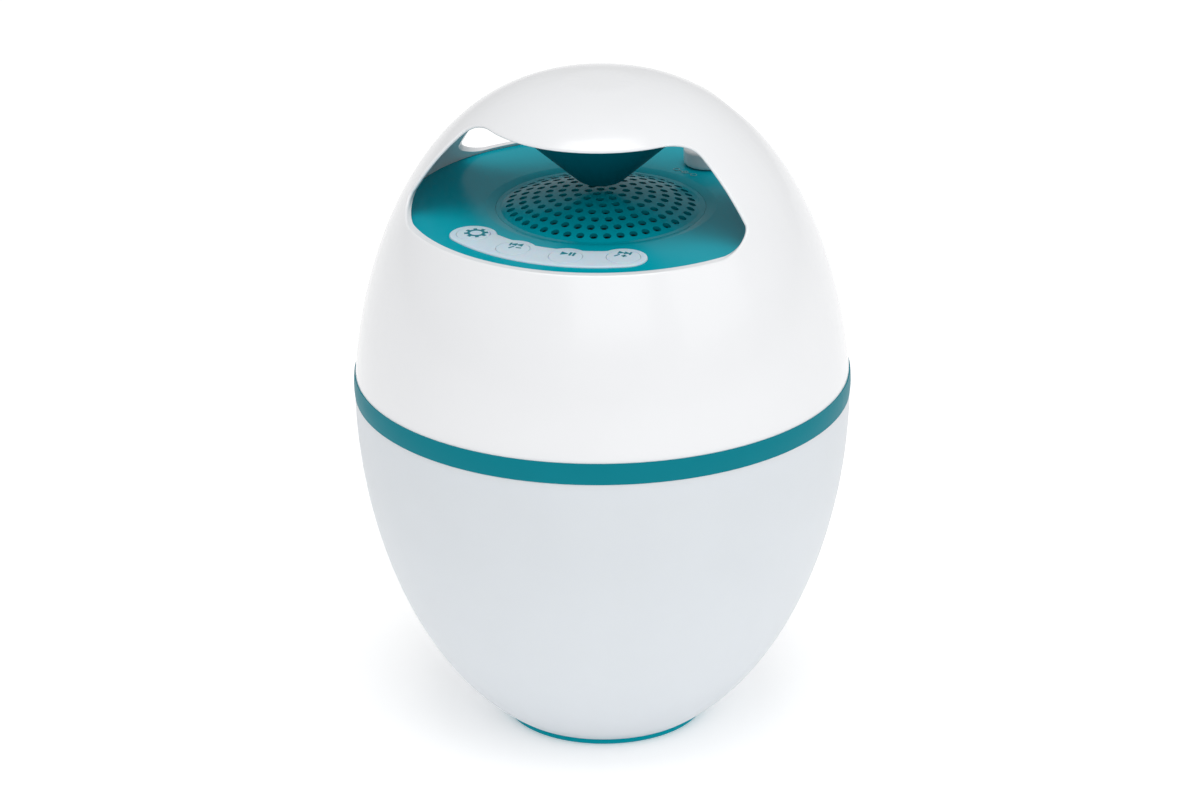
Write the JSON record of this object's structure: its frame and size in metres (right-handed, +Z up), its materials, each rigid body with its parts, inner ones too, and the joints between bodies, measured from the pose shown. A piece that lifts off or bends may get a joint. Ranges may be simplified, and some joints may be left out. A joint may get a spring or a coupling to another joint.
{
  "type": "party speaker",
  "caption": "Egg-shaped floating party speaker with a windowed hood, sound deflector cone, keypad deck, translucent lower bowl and weighted foot.",
  "frame": {"origin": "centre of the foot's underside", "axes": "+Z up along the egg axis, -Y towards the side with the keys, +X to the right of someone facing the keys"},
  "size_m": [0.18, 0.18, 0.2442],
  "materials": {
    "white_shell": "gloss injection-moulded",
    "milky_bowl": "satin translucent moulded",
    "teal_plastic": "gloss injection-moulded",
    "teal_band": "satin moulded",
    "pale_silicone": "smooth moulded silicone",
    "black_rubber": "moulded",
    "frame_plastic": "plain moulded",
    "black_plastic": "plain moulded",
    "board_green": "solder mask",
    "chip_black": "moulded epoxy",
    "light_chip": "phosphor under clear lens",
    "steel": "zinc plated",
    "brass": "turned",
    "iron": "cast and painted",
    "ferrite": "sintered",
    "copper": "wound enamelled wire",
    "cell_wrap": "shrink sleeve",
    "lead_black": "extruded insulation",
    "ribbon_grey": "extruded"
  },
  "bodies": {
    "housing": {"base_foot": "teal_plastic", "lower_shell": "milky_bowl", "upper_shell": "white_shell", "band_ring": "teal_band", "hull_seal": "black_rubber", "ballast_ring": "iron", "centre_pillar": "frame_plastic", "tie_bolt": "steel", "tie_nut": "steel", "mid_frame": "frame_plastic", "frame_screws": "steel", "light_board": "board_green", "light_chips": "light_chip", "light_screws": "steel", "battery_holder": "black_plastic", "battery_cells": "cell_wrap", "battery_contacts": "brass", "board_posts": "brass", "main_board": "board_green", "board_parts": "chip_black", "board_screws": "steel", "driver_frame": "black_plastic", "driver_gasket": "black_rubber", "driver_screws": "steel", "top_plate": "steel", "magnet": "ferrite", "yoke": "steel", "spider": "ribbon_grey", "surround": "black_rubber", "deck": "teal_plastic", "deck_seal": "black_rubber", "deck_screws": "steel", "speaker_grille": "teal_plastic", "keypad_strip": "pale_silicone", "switch_bodies": "chip_black", "key_board": "board_green", "key_board_screws": "steel", "charge_socket": "black_plastic", "deflector_cone": "teal_plastic", "deflector_plate": "teal_plastic", "crown_screws": "steel", "speaker_lead": "lead_black", "battery_lead": "lead_black", "light_lead": "lead_black", "charge_lead": "lead_black", "key_ribbon": "ribbon_grey"},
    "cone_assembly": {"voice_coil": "copper", "diaphragm": "black_plastic", "dust_cap": "black_plastic"},
    "charge_bung": {"charge_cap": "white_shell", "cap_seal": "black_rubber"},
    "button_light": {"key_light": "pale_silicone", "switch_stem_light": "black_plastic"},
    "button_previous": {"key_previous": "pale_silicone", "switch_stem_previous": "black_plastic"},
    "button_play": {"key_play": "pale_silicone", "switch_stem_play": "black_plastic"},
    "button_next": {"key_next": "pale_silicone", "switch_stem_next": "black_plastic"}
  },
  "joints": [
    {"name": "light_press", "type": "slide", "parent": "housing", "child": "button_light", "axis": [0, 0, -1], "range_m": [0, 0.0006], "stiffness_N_per_m": 2500},
    {"name": "previous_press", "type": "slide", "parent": "housing", "child": "button_previous", "axis": [0, 0, -1], "range_m": [0, 0.0006], "stiffness_N_per_m": 2500},
    {"name": "play_press", "type": "slide", "parent": "housing", "child": "button_play", "axis": [0, 0, -1], "range_m": [0, 0.0006], "stiffness_N_per_m": 2500},
    {"name": "next_press", "type": "slide", "parent": "housing", "child": "button_next", "axis": [0, 0, -1], "range_m": [0, 0.0006], "stiffness_N_per_m": 2500},
    {"name": "cap_pull", "type": "slide", "parent": "housing", "child": "charge_bung", "axis": [0, 0, 1], "range_m": [0, 0.014]},
    {"name": "cone_drive", "type": "slide", "parent": "housing", "child": "cone_assembly", "axis": [0, 0, 1], "range_m": [-0.002, 0.002], "stiffness_N_per_m": 1200, "deforming": ["surround", "spider"]}
  ]
}
